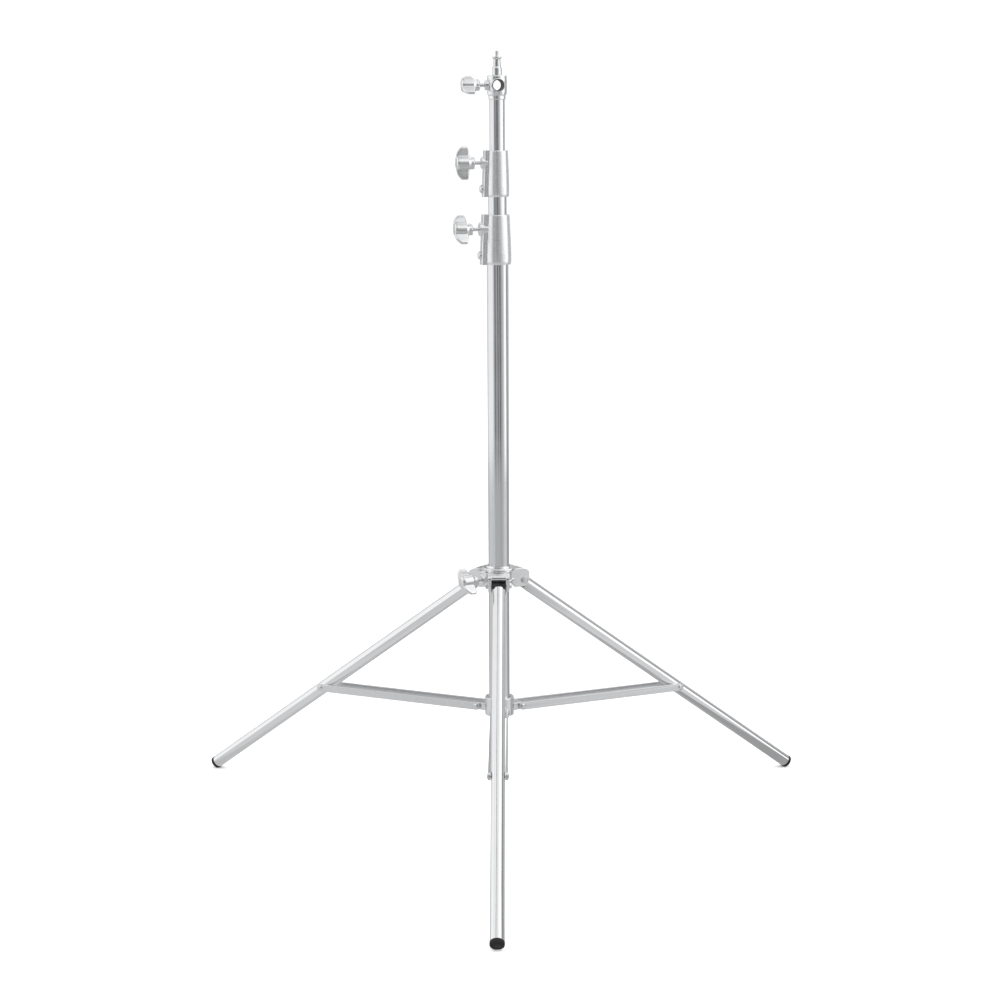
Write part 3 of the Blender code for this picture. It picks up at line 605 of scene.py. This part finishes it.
SPIGOT_TOP = 1.2795
spigot_upper = [(radius, SPIGOT_TOP - drop) for radius, drop in (
    (0, 0.0080), (0.0029, 0.0080), (0.0029, 0.0089), (0.0072, 0.0089), (0.0077, 0.0094), (0.0077, 0.0112),
    (0.0060, 0.0130), (0.0058, 0.0150), (0.0066, 0.0246), (0.0077, 0.0270), (0.0080, 0.0300))]
spigot_foot = [(0.0080, HEAD_TOP + RUNNING_GAP), (0.0050, HEAD_TOP + RUNNING_GAP),
               (0.0050, HEAD_TOP - 0.0060), (0, HEAD_TOP - 0.0060)]
spigot_skin = turned(spigot_upper + spigot_foot, 0.0004, facets=96)
spigot_thread = threaded(0.0031, SPIGOT_TOP - 0.0089, SPIGOT_TOP, 0.00127, 0.0006)
piece("spigot_turned", [placed(spigot_skin, around_column(0)), placed(spigot_thread, around_column(0))],
      zinc, "top_section", ["spigot"])


# ---------------------------------------------------------------------------------------------
# Leg slider: a die-cast spider that rides up the column to fold the legs. A flanged ring carries
# three pairs of cheeks, one pair for each leg, and a clamp block with its knob on the left.
def slab(outline, low, high, edge=0.0008, corner=0.002, steps=3):
    """A plate: its outline of (x, z) points with softened corners, drawn in by a quarter circle at both
    faces, and closed by a fan to the outline's middle."""
    ring = softened(outline, corner, closed=True, steps=6)
    forward = np.roll(ring, -1, 0) - np.roll(ring, 1, 0)
    inward = np.stack([-forward[:, 1], forward[:, 0]], 1)
    inward /= np.maximum(np.linalg.norm(inward, axis=1), 1e-12)[:, None]
    area = (ring[:, 0] * np.roll(ring[:, 1], -1) - np.roll(ring[:, 0], -1) * ring[:, 1]).sum()
    inward *= np.sign(area)
    bend = np.linspace(0, pi / 2, steps + 1)
    drawn = np.concatenate([edge * (1 - np.sin(bend)), edge * (1 - np.cos(bend))])
    stations = np.concatenate([low + edge * (1 - np.cos(bend)), high - edge * (1 - np.sin(bend))])
    rows = ring[None] + inward[None] * drawn[:, None, None]
    grid = np.stack([rows[..., 0], stations[:, None] + 0 * rows[..., 0], rows[..., 1]], -1)
    middle = ring.mean(0)
    cap = np.broadcast_to([middle[0], 0, middle[1]], grid[:1].shape).copy()
    first, last = cap.copy(), cap.copy()
    first[..., 1], last[..., 1] = low, high
    return skin(np.concatenate([first, grid, last]))


PIVOT_OUT, PIVOT_UP = 0.0390, 0.4123
LEG_AZIMUTHS = (270, 30, 150)
CLEVIS_HALF, CHEEK = 0.0120, 0.00575
CLAMP_HEIGHT, CLAMP_AZIMUTH = KNOBS["leg_collar"][1:3]
top = PIVOT_UP + 0.0243
ring = turned([(0.0178, top + 0.0030), (0.0205, top + 0.0030), (0.0212, top), (0.0265, top),
               (0.0275, top - 0.001), (0.0275, top - 0.0042), (0.0265, top - 0.0050), (0.0222, top - 0.0054),
               (0.0222, PIVOT_UP + 0.0060), (0.0262, PIVOT_UP + 0.0054), (0.0270, PIVOT_UP + 0.0046),
               (0.0270, PIVOT_UP + 0.0030), (0.0262, PIVOT_UP + 0.0022), (0.0178, PIVOT_UP + 0.0022)],
              0.0007, looped=True, facets=120)
shapes = [placed(ring, around_column(0))]
cheek = [(0.0135, PIVOT_UP + 0.0212), (0.0360, PIVOT_UP + 0.0212), (0.0440, PIVOT_UP + 0.0190),
         (0.0490, PIVOT_UP + 0.0147), (0.0490, PIVOT_UP), (0.0415, PIVOT_UP - 0.0103),
         (0.0205, PIVOT_UP - 0.0103), (0.0135, PIVOT_UP + 0.0034)]
for azimuth in LEG_AZIMUTHS:
    shapes += [placed(slab(cheek, low, low + CHEEK, 0.0009, 0.003), around_column(azimuth))
               for low in (CLEVIS_HALF, -CLEVIS_HALF - CHEEK)]
web = [(0.0190, PIVOT_UP + 0.0100), (0.0455, PIVOT_UP + 0.0096), (0.0475, PIVOT_UP + 0.0112),
       (0.0475, PIVOT_UP + 0.0150), (0.0450, PIVOT_UP + 0.0180), (0.0380, PIVOT_UP + 0.0200),
       (0.0190, PIVOT_UP + 0.0200)]
web_half = CLEVIS_HALF + 0.002
shapes += [placed(slab(web, -web_half, web_half, 0.0004, 0.0022), around_column(azimuth))
           for azimuth in LEG_AZIMUTHS]
block_foot, block_top = CLAMP_HEIGHT - 0.0125, CLAMP_HEIGHT + 0.0125
block = [(0.0190, block_foot), (0.0300, block_foot), (0.0300, block_top), (0.0190, block_top)]
shapes.append(placed(slab(block, -0.0105, 0.0105, 0.0012, 0.0015), around_column(CLAMP_AZIMUTH)))
clamp_boss = turned([(0, 0.022), (0.0092, 0.022), (0.0085, 0.0325), (0.0080, 0.0346), (0.0042, 0.0346),
                     (0.0036, 0.0334), (0, 0.0334)], 0.0008, facets=64)
shapes.append(placed(clamp_boss, around_column(CLAMP_AZIMUTH, CLAMP_HEIGHT) @ OUTWARDS))
piece("leg_slider_cast", shapes, tumbled_cast, "leg_slider", ["leg_collar"])
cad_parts["leg_collar_brake_pad"].material_slots[0].material = nylon


# ---------------------------------------------------------------------------------------------
# Leg pivots: a plated dome-headed bolt through each pair of cheeks, held by a hexagon nut on the far
# side, with a hair's gap under both heads.
def hexagon(across_flats, low, high, bore):
    """A nut: the radius is half the width across flats over the cosine of the angle from the nearest
    flat's middle, no more than the chamfer's turned radius."""
    def lobes(radius, height, angle):
        flat = across_flats / 2 / np.cos((angle + pi / 6) % (pi / 3) - pi / 6)
        return np.where(radius > bore + 1e-5, np.minimum(flat, radius), radius + 0 * angle)
    corner = across_flats / 2 / cos(pi / 6)
    profile = [(corner * 0.88, low), (corner * 1.01, low + 0.0006), (corner * 1.01, high - 0.0006),
               (corner * 0.88, high), (bore, high), (bore, low)]
    return turned(profile, 0.0001, looped=True, facets=120, lobes=lobes)


ACROSS = Matrix.Rotation(-pi / 2, 4, "X")  # lays a turned shape along a leg's hinge
bolt_face = CLEVIS_HALF + CHEEK + RUNNING_GAP
shank = turned([(0, bolt_face + 0.0001), (0.0030, bolt_face + 0.0001), (0.0030, -bolt_face - 0.0040),
                (0, -bolt_face - 0.0040)], 0.0004, facets=32)
cap = turned([(0, bolt_face + 0.0040), (0.0020, bolt_face + 0.0039), (0.0038, bolt_face + 0.0031),
              (0.0050, bolt_face + 0.0012), (0.0052, bolt_face), (0, bolt_face)], 0.0005, facets=48)
nut = hexagon(0.0100, -bolt_face - 0.0038, -bolt_face, 0.0033)
for number, azimuth in enumerate(LEG_AZIMUTHS, 1):
    seat = around_column(azimuth, PIVOT_UP, PIVOT_OUT) @ ACROSS
    piece(f"leg_pivot_bolt_{number}_domed", [placed(shank, seat), placed(cap, seat)],
          zinc, "leg_slider", [f"leg_pivot_bolt_{number}"])
    piece(f"leg_pivot_nut_{number}_hexagon", [placed(nut, seat)],
          zinc, "leg_slider", [f"leg_pivot_nut_{number}"])


# ---------------------------------------------------------------------------------------------
# Spreader: a cast ring fixed at the column's foot with a lug for each brace, and the rivet, headed
# at both ends, that each brace turns on.
SPREAD_OUT, SPREAD_UP, LUG_HALF = 0.0370, 0.1950, 0.0063
STRAP_GAP, STRAP = 0.0228, 0.0040
half_turn = np.radians(np.linspace(-90, 90, 13))
lug_end = (SPREAD_OUT, SPREAD_UP) + LUG_HALF * np.stack([np.cos(half_turn), np.sin(half_turn)], 1)
lug = np.concatenate([[(0.0180, SPREAD_UP - LUG_HALF)], lug_end, [(0.0180, SPREAD_UP + LUG_HALF)]])
ring = turned([(0.0178, 0.1837), (0.0243, 0.1837), (0.0243, 0.2147), (0.0178, 0.2147)], 0.0010,
              looped=True, facets=120)
shapes = [placed(ring, around_column(0))]
lug_face = STRAP_GAP / 2 - RUNNING_GAP
shapes += [placed(slab(lug, -lug_face, lug_face, 0.0008, 0.0004), around_column(azimuth))
           for azimuth in LEG_AZIMUTHS]
piece("spreader_cast_ring", shapes, tumbled_cast, "column", ["spreader_collar"])
rivet_face = STRAP_GAP / 2 + STRAP + RUNNING_GAP
rivet_half = [(0.0030, rivet_face - 0.0002), (0.0048, rivet_face), (0.0048, rivet_face + 0.0006),
              (0.0032, rivet_face + 0.0016), (0, rivet_face + 0.0020)]
rivet = turned(rivet_half[::-1] + [(radius, -height) for radius, height in rivet_half], 0.0004, facets=48)
for number, azimuth in enumerate(LEG_AZIMUTHS, 1):
    piece(f"spreader_rivet_{number}_headed",
          [placed(rivet, around_column(azimuth, SPREAD_UP, SPREAD_OUT) @ ACROSS)],
          zinc, "column", [f"spreader_rivet_{number}"])


# ---------------------------------------------------------------------------------------------
# Legs: 22 mm plated steel tubes. Each hangs from a black nylon block between its cheeks, carries
# the brace's pin just past halfway down, and ends in a black rubber tip worn flat on the floor.
LEAN = radians(54.34)
LEG_LENGTH, PIN_DROP, LEG_R = 0.6928, 0.3905, 0.0110
leg_plate = plated_tube_finish("bright_plated_leg_steel", "#E1E2E4", "#EAEBEC", 0.06, 0.12)
rubber = dark_grained_finish("matt_black_rubber", "#141414", 0.78, 0.6, 0.5)


def grounded(shape):
    """Presses a shape flat on the floor: nothing of it goes below z = 0."""
    points, faces, chart = shape
    return np.concatenate([points[:, :2], np.maximum(points[:, 2:], 0)], 1), faces, chart


tube_foot = 0.0060 - LEG_LENGTH
leg_tube = turned(tube_profile(LEG_R, TUBE_WALL, tube_foot, -0.0110), looped=True, facets=80)
bend = np.radians(np.linspace(0, 180, 15))
hinge_outline = np.concatenate([[(-0.0095, -0.0107), (0.0095, -0.0107)],
                                np.stack([0.0075 * np.cos(bend), 0.0075 * np.sin(bend)], 1)])
hinge = slab(hinge_outline, -0.0116, 0.0116, 0.0007, 0.0005)
stub = turned([(0, -0.009), (0.0092, -0.009), (0.0092, -0.029), (0, -0.029)], 0.0006, facets=48)
tip = turned([(0, tube_foot + 0.02), (0.0092, tube_foot + 0.02), (0.0092, tube_foot - 0.0003),
              (0.0111, tube_foot - 0.0003), (0.0113, tube_foot - 0.0020), (0.0113, 0.0020 - LEG_LENGTH),
              (0.0110, -LEG_LENGTH), (0, -LEG_LENGTH)], 0.0004, facets=96)
pin = turned([(0, 0.0112), (0.0030, 0.0112), (0.0030, -0.0112), (0, -0.0112)], 0.0003, facets=32)
for number, azimuth in enumerate(LEG_AZIMUTHS, 1):
    hang = around_column(azimuth, PIVOT_UP, PIVOT_OUT) @ Matrix.Rotation(-LEAN, 4, "Y")
    body = f"leg_{number}"
    piece(f"leg_tube_{number}_drawn", [placed(leg_tube, hang)],
          leg_plate, body, [f"leg_tube_{number}"])
    piece(f"leg_hinge_block_{number}_moulded", [placed(hinge, hang), placed(stub, hang)],
          nylon, body, [f"leg_hinge_block_{number}"])
    piece(f"rubber_foot_{number}_worn", [grounded(placed(tip, hang))],
          rubber, body, [f"rubber_foot_{number}"])
    piece(f"brace_pin_{number}_turned", [placed(pin, hang @ Matrix.Translation((0, 0, -PIN_DROP)) @ ACROSS)],
          zinc, body, [f"brace_pin_{number}"])


# ---------------------------------------------------------------------------------------------
# Braces: each is two flat strips of plated steel, 13 mm wide with round ends, pinned on the
# spreader's lug and either side of the leg, with a low rivet head on each outer face.
strip = cast_alloy_finish("rolled_plated_steel_strip", "#D0D2D4", "#DCDDDF", 0.18, 0.28, relief=0.03)
pin_out = PIVOT_OUT + PIN_DROP * sin(LEAN)
pin_up = PIVOT_UP - PIN_DROP * cos(LEAN)
BRACE_LENGTH = float(np.hypot(pin_out - SPREAD_OUT, pin_up - SPREAD_UP))
BRACE_DROP = float(np.arctan2(SPREAD_UP - pin_up, pin_out - SPREAD_OUT))
STRIP_HALF = 0.0065
half_turn = np.radians(np.linspace(90, 270, 17))
near_end = np.stack([STRIP_HALF * np.cos(half_turn), STRIP_HALF * np.sin(half_turn)], 1)
outline = np.concatenate([near_end, (BRACE_LENGTH, 0) - near_end])
inner, outer = STRAP_GAP / 2, STRAP_GAP / 2 + STRAP
rivet = turned([(0, outer + 0.0020), (0.0027, outer + 0.0018), (0.0045, outer + 0.0006),
                (0.0045, outer + 0.0001), (0.0030, outer), (0.0030, outer - 0.0027), (0, outer - 0.0027)],
               0.0004, facets=48)
for number, azimuth in enumerate(LEG_AZIMUTHS, 1):
    lie = around_column(azimuth, SPREAD_UP, SPREAD_OUT) @ Matrix.Rotation(BRACE_DROP, 4, "Y")
    for side, sign in (("left", 1), ("right", -1)):
        low, high = sorted((sign * inner, sign * outer))
        piece(f"brace_strip_{number}_{side}", [placed(slab(outline, low, high, 0.0006, 0.0002), lie)],
              strip, f"brace_{number}", [f"brace_strap_{number}_{side}"])
        seat = lie @ Matrix.Translation((BRACE_LENGTH, 0, 0)) @ Matrix.Rotation(-sign * pi / 2, 4, "X")
        piece(f"brace_rivet_{number}_{side}_domed", [placed(rivet, seat)],
              zinc, f"brace_{number}", [f"brace_rivet_head_{number}_{side}"])
